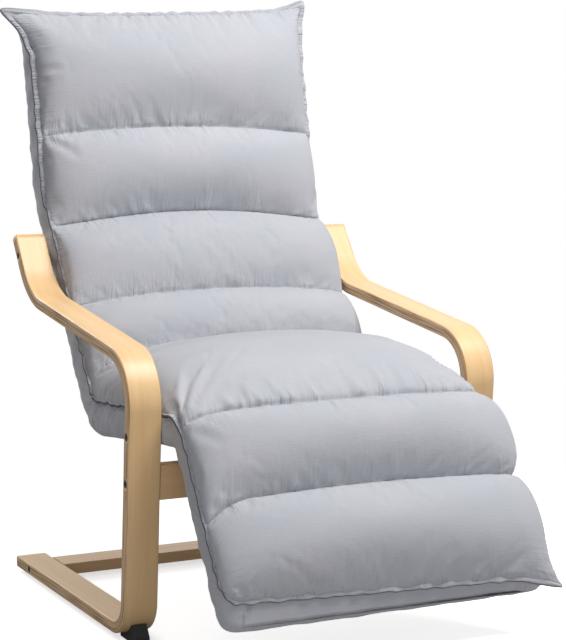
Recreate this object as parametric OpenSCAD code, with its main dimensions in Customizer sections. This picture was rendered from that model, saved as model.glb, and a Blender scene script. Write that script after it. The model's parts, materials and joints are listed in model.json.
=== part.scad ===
// Bentwood reclining lounge chair with a quilted cushion and a leg rest, in millimetres.
// The chair faces -Y, X runs across it and Z is up from the floor.
// A place in the side view is a pair [depth, height], with depth 0 at the top of the posts.

/* [Side frames] */
// Width over the two side frames
overall_w = 666; // [640:1:700]
// Width of the laminated board
board_w = 56; // [50:1:60]
// Thickness of the laminated board
board_t = 20; // [18:0.5:23]
// Radius on the long edges of the board
board_edge_r = 3; // [1:0.5:5]
// How far the foot of a post stands behind its top
post_lean = 35; // [25:1:45]
// Height of the arm's top face at the front bend
arm_front_z = 460; // [445:1:475]
// Height of the arm's top face at its rear bend
arm_bend_z = 520; // [510:1:530]
// Depth of the arm's rear bend
arm_bend_y = 474; // [460:1:485]
// Depth of the arm's rear end
arm_end_y = 543; // [535:1:550]
// Height of the arm's rear end
arm_end_z = 617; // [610:1:625]
// Radius on top of the arm's rear bend
arm_bend_r = 121; // [90:1:140]
// Outer radius of the front bend
front_bend_r = 89; // [60:1:110]
// Outer radius of the bend at the floor
foot_bend_r = 60; // [45:1:80]
// Depth of the runner's rear end
runner_end_y = 565; // [550:1:600]
// Height of the runner above the floor
ride_h = 8; // [6:0.5:12]

/* [Rails] */
// Thickness of both rails
rail_t = 20; // [18:0.5:22]
// Height of the front rail
front_rail_h = 56; // [50:1:64]
// Height of the middle of the front rail
front_rail_z = 260; // [250:1:265]
// Width of the flat rear rail
rear_rail_w = 60; // [50:1:70]
// Depth of the middle of the rear rail
rear_rail_y = 497; // [480:1:510]

/* [Feet] */
// Width of a front foot across the chair
front_foot_w = 24; // [18:1:34]
// Height of a front foot
front_foot_h = 29; // [22:1:34]
// Width of a rear pad across the chair
rear_pad_w = 30; // [20:1:40]
// Length of a rear pad
rear_pad_l = 36; // [24:1:50]

/* [Steel frame] */
// Outer diameter of the side tubes
tube_d = 22; // [20:0.5:22]
// Outer diameter of the cross tubes
cross_d = 19; // [16:0.5:19]
// Wall of the tubes
tube_wall = 1.5; // [1.2:0.1:2]
// Distance of the side tubes' middle from the cushion's edge
tube_inset = 18; // [17:0.5:22]
// Depth of the knee hinge in front of the posts' top
knee_fwd = 21; // [15:1:25]
// Height of the knee hinge
knee_z = 338; // [335:1:341]
// Depth of the corner between seat and back
hip_y = 347; // [344:1:350]
// Height of the corner between seat and back
hip_z = 314; // [312:1:316]
// Bend radius of the tube at that corner
hip_r = 60; // [50:1:75]
// Depth of the upper back hinge
upper_y = 587; // [584:1:590]
// Height of the upper back hinge
upper_z = 658; // [655:1:661]
// Length of the upper back from its hinge
upper_len = 352; // [330:1:370]
// Lean of the upper back from the vertical
upper_lean = 11.6; // [10:0.2:13]
// Length of the leg rest from its hinge
leg_len = 316; // [300:1:330]
// Slope of the leg rest below the level
leg_slope = 57; // [54:0.5:60]
// Corner radius of the two U-shaped frames
frame_corner_r = 45; // [35:1:55]

/* [Ratchet hinges] */
// Radius of the toothed wheel
wheel_r = 11.5; // [11:0.1:11.8]
// Depth of the teeth
tooth_h = 1.4; // [1:0.1:1.6]
// Number of teeth round a full wheel
tooth_count = 30; // [24:1:36]
// Diameter of the rivet that the hinge turns on
rivet_d = 8; // [7:0.5:9]

/* [Fastenings] */
// Diameter of the long frame bolts
frame_bolt_d = 8; // [7:0.5:8]
// Diameter of the rail bolts
rail_bolt_d = 6; // [5:0.5:7]
// Height of the seat frame's bolts in the posts
seat_bolt_z = 335; // [334:0.5:337]
// Distance of the back frame's bolts from the arms' ends
arm_bolt_inset = 38; // [36:0.5:41]

/* [Cushion] */
// Gap between the cushion's lower layer and a side frame
cushion_gap = 10; // [9:0.5:12]
// Thickness of the lower layer
cover_t = 31; // [30:0.5:34]
// Thickness of the lower layer's cloth and wadding
cover_wall = 2.5; // [2:0.1:2.6]
// Width of the sewn flange round the edge
flange_w = 5; // [3:0.5:6]
// Height of the puffed layer on the back
back_crown = 54; // [44:1:62]
// Height of the puffed layer at the front of the seat
seat_crown = 68; // [56:1:72]
// Height of the puffed layer at the back of the seat
seat_rear_crown = 100; // [84:1:104]
// Height of the puffed layer on the leg rest
leg_crown = 60; // [48:1:64]
// How far a sewn channel sinks below the crown
channel_sink = 22; // [12:1:26]
// How far the puffs bulge past the lower layer's edge
side_bulge = 6; // [0:0.5:7]
// How far the sides are drawn in at a sewn channel
side_draw = 6; // [2:0.5:9]
// Length of the head panel
head_panel = 222; // [200:1:240]
// Length of the lowest back panel
lumbar_panel = 172; // [150:1:190]
// Length of the upper panel on the leg rest
calf_panel = 126; // [110:1:145]

/* [Hidden] */
$fn = 48;

// Overrun of every cut past the face that it opens
cut = 1;
// Gap between soft pieces and what they lie on
soft_gap = 0.3;
// Gap between a fastening and the wood or steel round it
bolt_gap = 0.1;
// Running gap of the hinge rivets and of the wheels between the cheeks
run_gap = 0.05;
// Lap of a bend over the straight stretches of a sweep, and how much its section grows
bend_lap = 0.5;
bend_share = 1.004;

// Side view points of the board's outer face, from the arm's end to the runner's end
board_path = [[arm_end_y, arm_end_z], [arm_bend_y, arm_bend_z], [0, arm_front_z],
    [post_lean, ride_h], [runner_end_y, ride_h]];
inner_x = overall_w / 2 - board_w;
board_x = overall_w / 2 - board_w / 2;
cover_half_w = inner_x - cushion_gap;
tube_x = cover_half_w - tube_inset;

function unit(v) = v / norm(v);
function left_of(v) = [-v[1], v[0]];
function heading(a, b) = atan2(b[1] - a[1], b[0] - a[0]);
function half_turn(a) = a > 180 ? a - 360 : (a <= -180 ? a + 360 : a);
function toward(a) = [cos(a), sin(a)];

// Middle line of the board, half a thickness inside its outer face
board_line = [for (i = [0 : 4])
    let (back = i == 0 ? [0, 0] : left_of(unit(board_path[i] - board_path[i - 1])),
        ahead = i == 4 ? [0, 0] : left_of(unit(board_path[i + 1] - board_path[i])),
        side = unit(back + ahead))
    board_path[i] + side * board_t / 2 / max(back * side, ahead * side)];
board_radii = [arm_bend_r + board_t / 2, front_bend_r - board_t / 2, foot_bend_r - board_t / 2];

// Middle of the board's thickness in the arm, the post and the runner
arm_dir = unit(board_path[1] - board_path[0]);
post_dir = unit(board_path[3] - board_path[2]);
post_angle = heading(board_path[3], board_path[2]);
arm_bolt = board_path[0] + arm_dir * arm_bolt_inset + left_of(arm_dir) * board_t / 2;
function in_post(z) = board_path[2] + post_dir * (z - arm_front_z) / post_dir[1]
    + left_of(post_dir) * board_t / 2;
seat_bolt = in_post(seat_bolt_z);
front_rail_p = in_post(front_rail_z);
rear_rail_p = [rear_rail_y, ride_h + board_t / 2];

// Places and slopes of the four stretches of the cushion, seen from the side
knee = [-knee_fwd, knee_z];
hip = [hip_y, hip_z];
upper = [upper_y, upper_z];
seat_angle = heading(knee, hip);
lower_angle = heading(hip, upper);
upper_angle = 90 - upper_lean;
seat_len = norm(hip - knee);
lower_len = norm(upper - hip);

// Steel frame: hinge halves meet the tubes at this distance from the hinge axis
tube_start = 24;
plug_l = 30;
lug_t = 4;
lug_l = 38;
lug_h = 18;
tube_r = tube_d / 2;
cross_r = cross_d / 2;
frame_end_inset = 17;
front_cross_s = 52;
rear_cross_s = seat_len - 78;
low_cross_s = 92;
high_cross_s = lower_len - 46;

// Ratchet hinge: a wheel between two cheeks on one rivet
wheel_t = 4;
cheek_t = 2.5;
cheek_r = 12.5;
cheek_x = wheel_t / 2 + 2 * run_gap;
block_start = 14.5;
block_h = 18;
block_t = 2 * (cheek_x + cheek_t);
rivet_head_r = 6;
rivet_head_t = 1.5;
pawl_l = 2.6;
pawl_h = 3.2;
pawl_tip_gap = 0.25;

// Webbing straps looped round the side tubes
strap_t = 1.5;
strap_w = 50;
strap_gap = 0.2;
strap_edge = 62;

// Lower layer of the cushion
cover_r = 7;
cover_corner_r = 20;
flange_t = 2.2;
hinge_clear_r = 23;
fold_r = cover_t / 2;
fold_half_w = tube_x - block_t;
wall_hole_r = 8;

// Fastenings
bolt_head_r = 6.5;
bolt_head_h = 4.5;
head_recess_r = 7;
head_recess = 5;
socket_r = 2.5;
socket_depth = 3;
frame_bolt_tip = tube_x + tube_r - tube_wall;
spacer_r = 7;
rail_bolt_depth = 40;
nut_inset = 30;
nut_r = 5;
nut_l = 14;
dowel_r = 4;
dowel_l = 40;
dowel_off = 17;
screw_r = 2;
screw_l = 16;
screw_head_r = 4;
screw_head_h = 2;

// Front foot, seen from the side: a toe at the floor and a top edge under the bend
foot_toe_y = 27;
foot_toe_z = 11;
foot_top_y = 40;
foot_heel_y = 92;
foot_screw_y = 78;
pad_inset = 9;

// Puffed pads: rings across the cushion, stepped along it
ring_n = 22;
channel_n = 9;
knee_n = 7;
pad_tuck = 5;
pad_half_w = cover_half_w + side_bulge;
base_z = cover_t / 2 + soft_gap;
seam_edge_h = 10;
knee_seam_angle = 139;
split_angle = 189;
corner_seam_angle = 96;
corner_sink = 6;
knee_span = knee_seam_angle - seat_angle - 90;
crown_round_share = 0.42;
foot_crown_share = 0.92;
head_crown_share = 0.85;
side_round_share = 0.55;

back_seam = back_crown - channel_sink;
leg_seam = leg_crown - channel_sink;
seat_corner_lean = tan(corner_seam_angle - 90 - seat_angle);
back_corner_lean = tan(lower_angle + 90 - corner_seam_angle);
seat_pad_end = seat_len - base_z * seat_corner_lean - soft_gap;
back_pad_start = base_z * back_corner_lean + soft_gap;
corner_reach = hip_r * tan((lower_angle - seat_angle) / 2);
corner_inner_r = hip_r - cover_t / 2;
upper_split_lean = tan(split_angle - 90 - upper_angle);
lower_split_lean = tan(split_angle - 90 - lower_angle);
lower_pad_end = lower_len - base_z * lower_split_lean - soft_gap;
upper_pad_start = soft_gap - base_z * upper_split_lean;
knee_lean = tan(90 + leg_slope - knee_seam_angle);

// Leg pad's foremost point and the cover's rearmost corner set the middle of the chair
leg_pad_low = [for (ring = leg_pad_rings()) for (p = ring) place(knee, leg_slope, p)[1]];
front_y = min(leg_pad_low);
back_y = upper_y + upper_len * cos(upper_angle) + cover_t / 2 * sin(upper_angle);
origin_y = (front_y + back_y) / 2;

// A point of a stretch's own frame, x across, y along and z off its top, in the chair's frame
function place(p, a, v) = [v[0], p[0] + v[1] * cos(a) - v[2] * sin(a),
    p[1] + v[1] * sin(a) + v[2] * cos(a)];

// Moves a piece from the side view's zero to the chair's own origin
module chair() {
    translate([0, -origin_y, 0]) children();
}

// Puts a piece at point p of the side view with its y axis turned up by angle a
module at(p, a) {
    translate([0, p[0], p[1]]) rotate([a, 0, 0]) children();
}

module both_sides() {
    children();
    mirror([1, 0, 0]) children();
}

// Round bar along X from x0 to x1
module bar_x(x0, x1, r) {
    translate([x0, 0, 0]) rotate([0, 90, 0]) cylinder(h = x1 - x0, r = r);
}

module round_rect(w, h, r) {
    square([w - 2 * r, h], center = true);
    square([w, h - 2 * r], center = true);
    for (sx = [-1, 1], sy = [-1, 1])
        translate([sx * (w / 2 - r), sy * (h / 2 - r)]) circle(r = r, $fn = 32);
}

// Straight stretch of a sweep between two side view points, trimmed at both ends
module sweep_run(a, b, trim_a, trim_b) {
    u = unit(b - a);
    start = a + u * trim_a;
    at(start, heading(a, b) - 90) linear_extrude(norm(b - a) - trim_a - trim_b) children();
}

// Bend of a sweep at point b with radius r on the line of the section's zero; it laps a little
// over the straight stretches, on a section that is a hair larger
module sweep_bend(a, b, c, r) {
    turn = half_turn(heading(b, c) - heading(a, b));
    start = b - unit(b - a) * r * tan(abs(turn) / 2);
    side = turn > 0 ? 1 : -1;
    centre = start + left_of(unit(b - a)) * r * side;
    lap = bend_lap / r * 180 / PI;
    first = heading(a, b) - 90 * side - (turn > 0 ? 0 : abs(turn)) - lap;
    at(centre, first + 90) rotate([0, 90, 0])
        rotate_extrude(angle = abs(turn) + 2 * lap, $fn = 120)
            translate([r, 0]) rotate(-90 * side) scale(bend_share) children();
}

function bend_trim(pts, radii, i) = i == 0 || i == len(pts) - 1 ? 0 : radii[i - 1]
    * tan(abs(half_turn(heading(pts[i], pts[i + 1]) - heading(pts[i - 1], pts[i]))) / 2);

// Section swept along side view points; its y axis points to the right of the way along
module sweep(pts, radii) {
    for (i = [0 : len(pts) - 2])
        sweep_run(pts[i], pts[i + 1], bend_trim(pts, radii, i), bend_trim(pts, radii, i + 1))
            children();
    for (i = [1 : len(pts) - 2])
        sweep_bend(pts[i - 1], pts[i], pts[i + 1], radii[i - 1]) children();
}

module long_bolt_cuts(p, r) {
    at(p, 0) {
        bar_x(inner_x - cut, overall_w / 2 + cut, r + bolt_gap);
        bar_x(overall_w / 2 - head_recess, overall_w / 2 + cut, head_recess_r);
    }
}

// The two dowels beside a rail's bolt, in the rail's own frame
module dowel_bars(x0, x1, r) {
    for (s = [-1, 1]) translate([0, s * dowel_off, 0]) bar_x(x0, x1, r);
}

// One bent laminated board makes the arm, the post and the runner
module side_frame() {
    difference() {
        translate([board_x, 0, 0]) sweep(board_line, board_radii)
            round_rect(board_w, board_t, board_edge_r);
        long_bolt_cuts(arm_bolt, frame_bolt_d / 2);
        long_bolt_cuts(seat_bolt, frame_bolt_d / 2);
        long_bolt_cuts(front_rail_p, rail_bolt_d / 2);
        long_bolt_cuts(rear_rail_p, rail_bolt_d / 2);
        at(front_rail_p, post_angle)
            dowel_bars(inner_x - cut, inner_x + dowel_l / 2 + bolt_gap, dowel_r + bolt_gap);
        at(rear_rail_p, 0)
            dowel_bars(inner_x - cut, inner_x + dowel_l / 2 + bolt_gap, dowel_r + bolt_gap);
        foot_screw_cuts();
    }
}

module foot_screw_cuts() {
    at([foot_screw_y, 0], 0) translate([board_x, 0, ride_h - cut])
        cylinder(h = screw_l, r = screw_r + bolt_gap);
    at([runner_end_y - pad_inset - rear_pad_l / 2, 0], 0) translate([board_x, 0, ride_h - cut])
        cylinder(h = screw_l, r = screw_r + bolt_gap);
}

module left_side_frame() {
    color("burlywood") chair() side_frame();
}

module right_side_frame() {
    color("burlywood") chair() mirror([1, 0, 0]) side_frame();
}

// Rail in its own frame: y across its width, z through its thickness, nuts let in from behind
module rail(width) {
    difference() {
        cube([2 * inner_x, width, rail_t], center = true);
        both_sides() {
            bar_x(inner_x - rail_bolt_depth - bolt_gap, inner_x + cut, rail_bolt_d / 2 + bolt_gap);
            dowel_bars(inner_x - dowel_l / 2 - bolt_gap, inner_x + cut, dowel_r + bolt_gap);
            translate([inner_x - nut_inset, 0, -rail_t / 2 - cut])
                cylinder(h = rail_t / 2 + cut + nut_l / 2 + bolt_gap, r = nut_r + bolt_gap);
        }
    }
}

module front_rail() {
    color("burlywood") chair() at(front_rail_p, post_angle) rail(front_rail_h);
}

module rear_rail() {
    color("burlywood") chair() at(rear_rail_p, 0) rail(rear_rail_w);
}

// Wedge of black rubber under the front bend
module front_foot() {
    difference() {
        translate([board_x - front_foot_w / 2, 0, 0]) rotate([90, 0, 90])
            linear_extrude(front_foot_w) polygon([[foot_toe_y, 0], [foot_toe_y, foot_toe_z],
                [foot_top_y, front_foot_h], [foot_heel_y, front_foot_h], [foot_heel_y, 0]]);
        translate([board_x, 0, 0]) sweep([for (i = [2 : 4]) board_line[i]], [board_radii[2]])
            translate([0, -board_t / 2]) square([board_w, 2 * board_t], center = true);
        at([foot_screw_y, 0], 0) translate([board_x, 0, -cut]) {
            cylinder(h = screw_l + 2 * cut, r = screw_r + bolt_gap);
            cylinder(h = screw_head_h + 2 * cut, r = screw_head_r + bolt_gap);
        }
    }
}

module left_front_foot() {
    color("black") chair() front_foot();
}

module right_front_foot() {
    color("black") chair() mirror([1, 0, 0]) front_foot();
}

module rear_pads() {
    color("black") chair() both_sides() difference() {
        translate([board_x - rear_pad_w / 2, runner_end_y - pad_inset - rear_pad_l, 0])
            cube([rear_pad_w, rear_pad_l, ride_h]);
        at([runner_end_y - pad_inset - rear_pad_l / 2, 0], 0) translate([board_x, 0, -cut]) {
            cylinder(h = ride_h + 2 * cut, r = screw_r + bolt_gap);
            cylinder(h = screw_head_h + 2 * cut, r = screw_head_r + bolt_gap);
        }
    }
}

module foot_screws() {
    color("dimgray") chair() both_sides()
        for (y = [foot_screw_y, runner_end_y - pad_inset - rear_pad_l / 2])
            translate([board_x, y, cut]) {
                cylinder(h = screw_l, r = screw_r);
                cylinder(h = screw_head_h, r = screw_head_r);
            }
}

// Socket-head bolt along X whose head lies in the board's outer edge
module edge_bolt(x_tip, r) {
    head_x = overall_w / 2 - head_recess;
    difference() {
        union() {
            bar_x(x_tip, head_x, r);
            bar_x(head_x, head_x + bolt_head_h, bolt_head_r);
        }
        translate([head_x + bolt_head_h - socket_depth, 0, 0]) rotate([0, 90, 0])
            cylinder(h = socket_depth + cut, r = socket_r, $fn = 6);
    }
}

module rail_bolts() {
    color("dimgray") chair() both_sides() for (p = [front_rail_p, rear_rail_p])
        at(p, 0) edge_bolt(inner_x - rail_bolt_depth, rail_bolt_d / 2);
}

module barrel_nut() {
    difference() {
        translate([inner_x - nut_inset, 0, -nut_l / 2]) cylinder(h = nut_l, r = nut_r);
        bar_x(inner_x - nut_inset - nut_r - cut, inner_x, rail_bolt_d / 2 + bolt_gap);
    }
}

module barrel_nuts() {
    color("silver") chair() both_sides() {
        at(front_rail_p, post_angle) barrel_nut();
        at(rear_rail_p, 0) barrel_nut();
    }
}

module rail_dowels() {
    color("wheat") chair() both_sides() {
        at(front_rail_p, post_angle)
            dowel_bars(inner_x - dowel_l / 2, inner_x + dowel_l / 2, dowel_r);
        at(rear_rail_p, 0) dowel_bars(inner_x - dowel_l / 2, inner_x + dowel_l / 2, dowel_r);
    }
}

module back_frame_bolts() {
    color("dimgray") chair() both_sides() at(arm_bolt, 0)
        edge_bolt(frame_bolt_tip, frame_bolt_d / 2);
}

module seat_frame_bolts() {
    color("dimgray") chair() both_sides() at(seat_bolt, 0)
        edge_bolt(frame_bolt_tip, frame_bolt_d / 2);
}

// Bushes that hold the steel frame off the wood
module frame_spacers() {
    color("black") chair() both_sides() for (p = [arm_bolt, seat_bolt]) at(p, 0) difference() {
        bar_x(tube_x + tube_r + lug_t, inner_x, spacer_r);
        bar_x(tube_x, inner_x + cut, frame_bolt_d / 2 + bolt_gap);
    }
}

// Side tube of the fixed frame, as a bar of radius r, from the knee hinge to the upper hinge
module side_tube(r) {
    start = knee + toward(seat_angle) * tube_start;
    end = upper - toward(lower_angle) * tube_start;
    translate([tube_x, 0, 0]) sweep([start, hip, end], [hip_r]) circle(r = r);
}

// Cross tubes of the fixed frame, as bars of radius r
module cross_tubes(r) {
    for (s = [front_cross_s, rear_cross_s])
        at(knee, seat_angle) translate([0, s, 0]) bar_x(-tube_x, tube_x, r);
    for (s = [low_cross_s, high_cross_s])
        at(hip, lower_angle) translate([0, s, 0]) bar_x(-tube_x, tube_x, r);
}

module lug(p, a) {
    at(p, a) translate([tube_x + tube_r - tube_wall / 2, -lug_l / 2, -lug_h / 2])
        cube([lug_t + tube_wall / 2, lug_l, lug_h]);
}

module seat_frame() {
    arm_off = (arm_bolt - hip) * left_of(toward(lower_angle));
    seat_off = (seat_bolt - knee) * left_of(toward(seat_angle));
    color("slategray") chair() difference() {
        union() {
            both_sides() {
                side_tube(tube_r);
                lug(arm_bolt - left_of(toward(lower_angle)) * arm_off, lower_angle);
                lug(seat_bolt - left_of(toward(seat_angle)) * seat_off, seat_angle);
            }
            cross_tubes(cross_r);
        }
        both_sides() {
            side_tube(tube_r - tube_wall);
            for (p = [arm_bolt, seat_bolt]) at(p, 0)
                bar_x(tube_x, tube_x + tube_r + lug_t + cut, frame_bolt_d / 2 + bolt_gap);
        }
        cross_tubes(cross_r - tube_wall);
    }
}

module stadium(r) {
    square([2 * tube_x, 2 * r], center = true);
    for (s = [-1, 1]) translate([s * tube_x, 0]) circle(r = r);
}

// Strap looped round both side tubes, centred on y = 0
module strap() {
    translate([0, strap_w / 2, 0]) rotate([90, 0, 0]) linear_extrude(strap_w) difference() {
        stadium(tube_r + strap_gap + strap_t);
        stadium(tube_r + strap_gap);
    }
}

// Evenly spaced straps between y0 and y1
module straps(y0, y1, count) {
    for (i = [0 : count - 1]) translate([0, y0 + (y1 - y0) * i / (count - 1), 0]) strap();
}

module seat_webbing() {
    color("dimgray") chair() at(knee, seat_angle)
        straps(front_cross_s + strap_edge, rear_cross_s - strap_edge, 3);
}

module lower_back_webbing() {
    color("dimgray") chair() at(hip, lower_angle)
        straps(low_cross_s + strap_edge, high_cross_s - strap_edge - strap_w, 2);
}

// Fixed half of a ratchet hinge: two cheeks and a plug, pointing to -y from the axis
module hinge_fork() {
    difference() {
        union() {
            for (s = [-1, 1]) translate([s * (cheek_x + cheek_t / 2) - cheek_t / 2, 0, 0]) {
                bar_x(0, cheek_t, cheek_r);
                translate([0, -block_start - cut, -block_h / 2])
                    cube([cheek_t, block_start + cut, block_h]);
            }
            translate([-block_t / 2, -tube_start, -block_h / 2])
                cube([block_t, tube_start - block_start, block_h]);
            translate([0, -tube_start + cut, 0]) rotate([90, 0, 0])
                cylinder(h = plug_l + cut, r = tube_r - tube_wall - bolt_gap);
        }
        bar_x(-block_t, block_t, rivet_d / 2);
    }
}

// Moving half: a toothed wheel and a plug, pointing to +y from the axis
module hinge_wheel(back_angle) {
    root_r = wheel_r - tooth_h;
    step = 360 / tooth_count;
    difference() {
        union() {
            translate([-wheel_t / 2, 0, 0]) rotate([90, 0, 90]) linear_extrude(wheel_t)
                polygon([for (i = [0 : tooth_count - 1]) each [
                    root_r * toward(back_angle + i * step),
                    wheel_r * toward(back_angle + (i + 1) * step)]]);
            translate([-wheel_t / 2, 0, -block_h / 4]) cube([wheel_t, tube_start, block_h / 2]);
            translate([-block_t / 2, block_start, -block_h / 2])
                cube([block_t, tube_start - block_start, block_h]);
            translate([0, tube_start - cut, 0]) rotate([-90, 0, 0])
                cylinder(h = plug_l + cut, r = tube_r - tube_wall - bolt_gap);
        }
        bar_x(-block_t, block_t, rivet_d / 2 + run_gap);
    }
}

// Rivet through the cheeks and the wheel, with a head at each end
module rivet() {
    half = block_t / 2;
    bar_x(-half, half, rivet_d / 2);
    for (s = [-1, 1]) translate([s * (half + rivet_head_t / 2) - rivet_head_t / 2, 0, 0])
        bar_x(0, rivet_head_t, rivet_head_r);
}

// Pawl between the cheeks, just clear of the teeth so that the wheel can be turned past it
module pawl() {
    tip = wheel_r + pawl_tip_gap;
    translate([-wheel_t / 2, -tip - pawl_l, -pawl_h / 2]) cube([wheel_t, pawl_l, pawl_h]);
}

module upper_hinge_forks() {
    color("gray") chair() both_sides() at(upper, lower_angle) translate([tube_x, 0, 0])
        hinge_fork();
}

module knee_hinge_forks() {
    color("gray") chair() both_sides() at(knee, seat_angle + 180) translate([tube_x, 0, 0])
        hinge_fork();
}

module upper_ratchet_wheels() {
    color("silver") chair() both_sides() at(upper, upper_angle) translate([tube_x, 0, 0])
        hinge_wheel(lower_angle - upper_angle + 180);
}

module knee_ratchet_wheels() {
    color("silver") chair() both_sides() at(knee, leg_slope + 180) translate([tube_x, 0, 0])
        hinge_wheel(seat_angle - leg_slope - 180);
}

module upper_hinge_rivets() {
    color("silver") chair() both_sides() at(upper, 0) translate([tube_x, 0, 0]) rivet();
}

module knee_hinge_rivets() {
    color("silver") chair() both_sides() at(knee, 0) translate([tube_x, 0, 0]) rivet();
}

module upper_hinge_pawls() {
    color("dimgray") chair() both_sides() at(upper, lower_angle) translate([tube_x, 0, 0]) pawl();
}

module knee_hinge_pawls() {
    color("dimgray") chair() both_sides() at(knee, seat_angle + 180) translate([tube_x, 0, 0])
        pawl();
}

// U-shaped tube of radius r in the plane z = 0, from the hinge halves to y = len
module u_tube(len, r) {
    end = len - frame_end_inset;
    both_sides() {
        translate([tube_x, tube_start, 0]) rotate([-90, 0, 0])
            cylinder(h = end - frame_corner_r - tube_start, r = r);
        translate([tube_x - frame_corner_r, end - frame_corner_r, 0])
            rotate_extrude(angle = 90, $fn = 96) translate([frame_corner_r, 0]) circle(r = r);
    }
    translate([0, end, 0]) bar_x(frame_corner_r - tube_x, tube_x - frame_corner_r, r);
}

// U-shaped frame with one cross tube at y = cross
module u_frame(len, cross) {
    difference() {
        union() {
            u_tube(len, tube_r);
            translate([0, cross, 0]) bar_x(-tube_x, tube_x, cross_r);
        }
        u_tube(len, tube_r - tube_wall);
        translate([0, cross, 0]) bar_x(-tube_x, tube_x, cross_r - tube_wall);
        both_sides() translate([tube_x, tube_start + cut, 0]) rotate([90, 0, 0])
            cylinder(h = 2 * cut, r = tube_r - tube_wall);
    }
}

module upper_back_frame() {
    color("slategray") chair() at(upper, upper_angle) u_frame(upper_len, 2 * tube_start + plug_l);
}

module leg_rest_frame() {
    color("slategray") chair() at(knee, leg_slope + 180) u_frame(leg_len, 2 * tube_start + plug_l);
}

module upper_back_webbing() {
    color("dimgray") chair() at(upper, upper_angle)
        straps(3 * tube_start + strap_edge, upper_len - frame_corner_r - strap_edge, 3);
}

module leg_rest_webbing() {
    color("dimgray") chair() at(knee, leg_slope + 180)
        straps(3 * tube_start + strap_edge, leg_len - frame_corner_r - strap_edge, 2);
}

// Section of the lower layer, with its sewn flange on the side of the puffed layer
module cover_section(flip) {
    round_rect(2 * cover_half_w, cover_t, cover_r);
    translate([0, flip * (cover_t - flange_t) / 2])
        square([2 * (cover_half_w + flange_w), flange_t], center = true);
}

module cover_hollow() {
    round_rect(2 * (cover_half_w - cover_wall), cover_t - 2 * cover_wall, cover_r - cover_wall);
}

// Lower layer under seat and lower back: a cloth box round the fixed steel frame
module seat_cover() {
    color("gainsboro") chair() difference() {
        sweep([knee, hip, upper], [hip_r]) cover_section(-1);
        sweep([knee - toward(seat_angle) * cut, hip, upper + toward(lower_angle) * cut], [hip_r])
            cover_hollow();
        for (p = [knee, upper]) at(p, 0)
            bar_x(-overall_w, overall_w, hinge_clear_r);
        both_sides() for (p = [arm_bolt, seat_bolt]) at(p, 0)
            bar_x(cover_half_w - 2 * cover_wall, cover_half_w + flange_w + cut, wall_hole_r);
    }
}

// Outline of a hinged stretch from above, with its far corners rounded
module end_outline(half_w, len, r) {
    translate([-half_w, 0]) square([2 * half_w, len - r]);
    translate([-half_w + r, 0]) square([2 * (half_w - r), len]);
    for (s = [-1, 1]) translate([s * (half_w - r), len - r]) circle(r = r);
}

// Lower layer of a hinged stretch, closed at its far end, y from the hinge to len
module end_cover(len, side) {
    difference() {
        union() {
            intersection() {
                rotate([-90, 0, 0]) linear_extrude(len)
                    round_rect(2 * cover_half_w, cover_t, cover_r);
                translate([0, 0, -cover_t]) linear_extrude(2 * cover_t)
                    end_outline(cover_half_w, len, cover_corner_r);
            }
            translate([0, 0, side * (cover_t - flange_t) / 2 - flange_t / 2])
                linear_extrude(flange_t) end_outline(cover_half_w + flange_w, len + flange_w,
                    cover_corner_r + flange_w);
        }
        translate([0, -cut, 0]) rotate([-90, 0, 0]) linear_extrude(len - cover_wall + cut)
            cover_hollow();
        bar_x(-overall_w, overall_w, hinge_clear_r);
    }
}

module upper_back_cover() {
    color("gainsboro") chair() at(upper, upper_angle) end_cover(upper_len, 1);
}

module leg_rest_cover() {
    color("gainsboro") chair() at(knee, leg_slope + 180) end_cover(leg_len, -1);
}

// Roll of cover cloth and wadding over each hinge line
module upper_fold() {
    color("lightgray") chair() at(upper, 0) bar_x(-fold_half_w, fold_half_w, fold_r);
}

module knee_fold() {
    color("lightgray") chair() at(knee, 0) bar_x(-fold_half_w, fold_half_w, fold_r);
}

// Swell of a panel at share t of its length: 0 at the seams, 1 at the crown
function swell(t) = pow(max(0, 1 - pow(2 * t - 1, 2)), crown_round_share);

// Rise of the rounded corner between seat and back above the flat, d past its start
function corner_rise(d) = d <= 0 ? 0
    : corner_inner_r - sqrt(pow(corner_inner_r, 2) - pow(min(d, corner_inner_r), 2));

// Ring of points across a pad, at y, half as wide as a, from height low up to height h
function pad_ring(y, a, h, lean, low = 0) = [for (k = [0 : ring_n])
    let (c = cos(180 * k / ring_n), s = sin(180 * k / ring_n),
        z = low + (h - low) * pow(abs(s), side_round_share),
        x = sign(c) * pow(abs(c), side_round_share) * (a - pad_tuck + pad_tuck * sqrt(abs(s))))
    [x, y + z * lean, base_z + z]];

// Rings of one panel from y0 to y1, with the crown's height, the heights of its two seams
// and the lean of its two ends as the tangent of their angle off the square
function panel_rings(y0, y1, crown0, crown1, seam0, seam1, lean0, lean1, first) = [
    for (i = [first : channel_n])
        let (t = i / channel_n, w = swell(t), crown = crown0 + (crown1 - crown0) * t,
            seam = seam0 + (seam1 - seam0) * t, y = y0 + (y1 - y0) * t)
        pad_ring(y, pad_half_w - side_draw * (1 - w), seam + (crown - seam) * w,
            lean0 * pow(1 - t, 2) + lean1 * pow(t, 2),
            lean0 > 0 ? corner_rise(corner_reach - y) : 0)];

// Closed skin over rings of points
module pad_skin(rings) {
    n = len(rings);
    m = len(rings[0]);
    polyhedron(points = [for (r = rings) each r], faces = concat(
        [[for (k = [0 : m - 1]) k]],
        [[for (k = [m - 1 : -1 : 0]) (n - 1) * m + k]],
        [for (i = [0 : n - 2], k = [0 : m - 1]) let (a = i * m + k, b = i * m + (k + 1) % m)
            each [[a, a + m, b], [b, a + m, b + m]]]), convexity = 4);
}

function placed(rings, p, a) = [for (r = rings) [for (v = r) place(p, a, v)]];

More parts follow.
